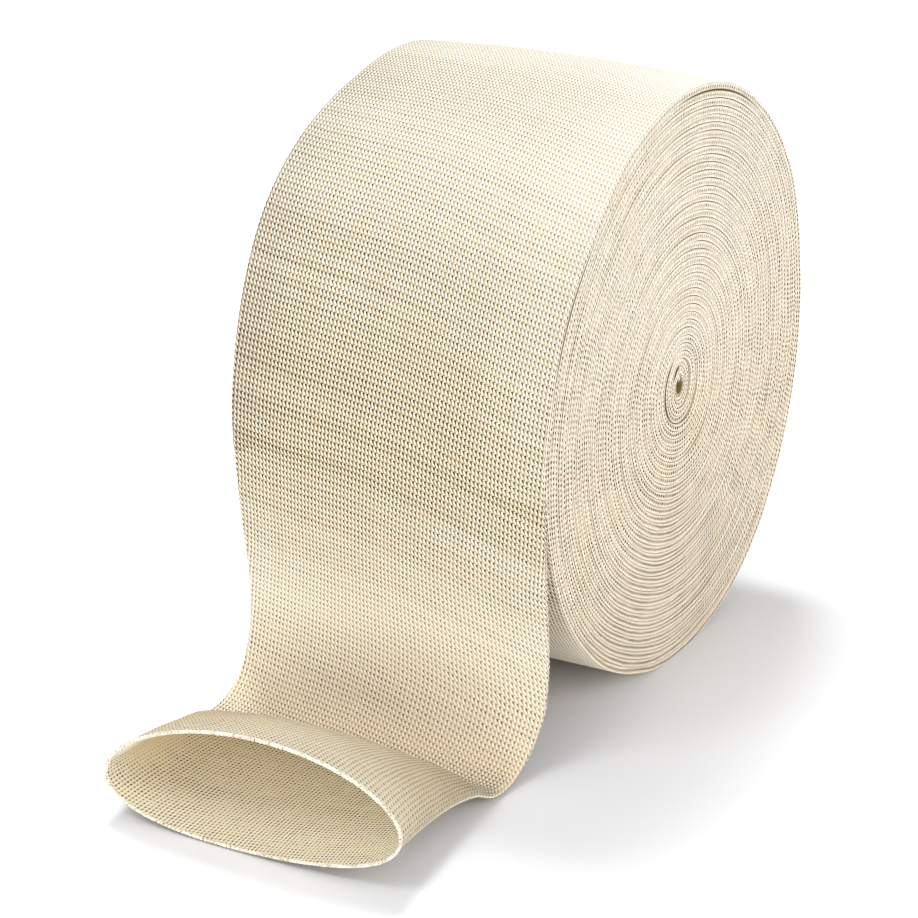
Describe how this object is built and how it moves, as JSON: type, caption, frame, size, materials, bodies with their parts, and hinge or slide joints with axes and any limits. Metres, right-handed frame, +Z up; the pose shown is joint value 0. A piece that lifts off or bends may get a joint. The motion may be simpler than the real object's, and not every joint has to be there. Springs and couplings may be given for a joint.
{
  "type": "tubular bandage roll",
  "caption": "Roll of seamless tubular elastic knit bandage; its loose end hangs to the surface, turns forward along it and stands open as a round mouth.",
  "frame": {"origin": "on the surface the roll stands on, under the roll's axis and midway along its width", "axes": "+X along the roll's axis to the end face that shows in the picture, -Y to the front, where the loose end lies, +Z up"},
  "size_m": [0.088, 0.2244, 0.1557],
  "materials": {
    "knit": "matt cream elastic cotton knit"
  },
  "bodies": {
    "root": {"roll": "knit", "loose_end": "knit"}
  },
  "joints": []
}
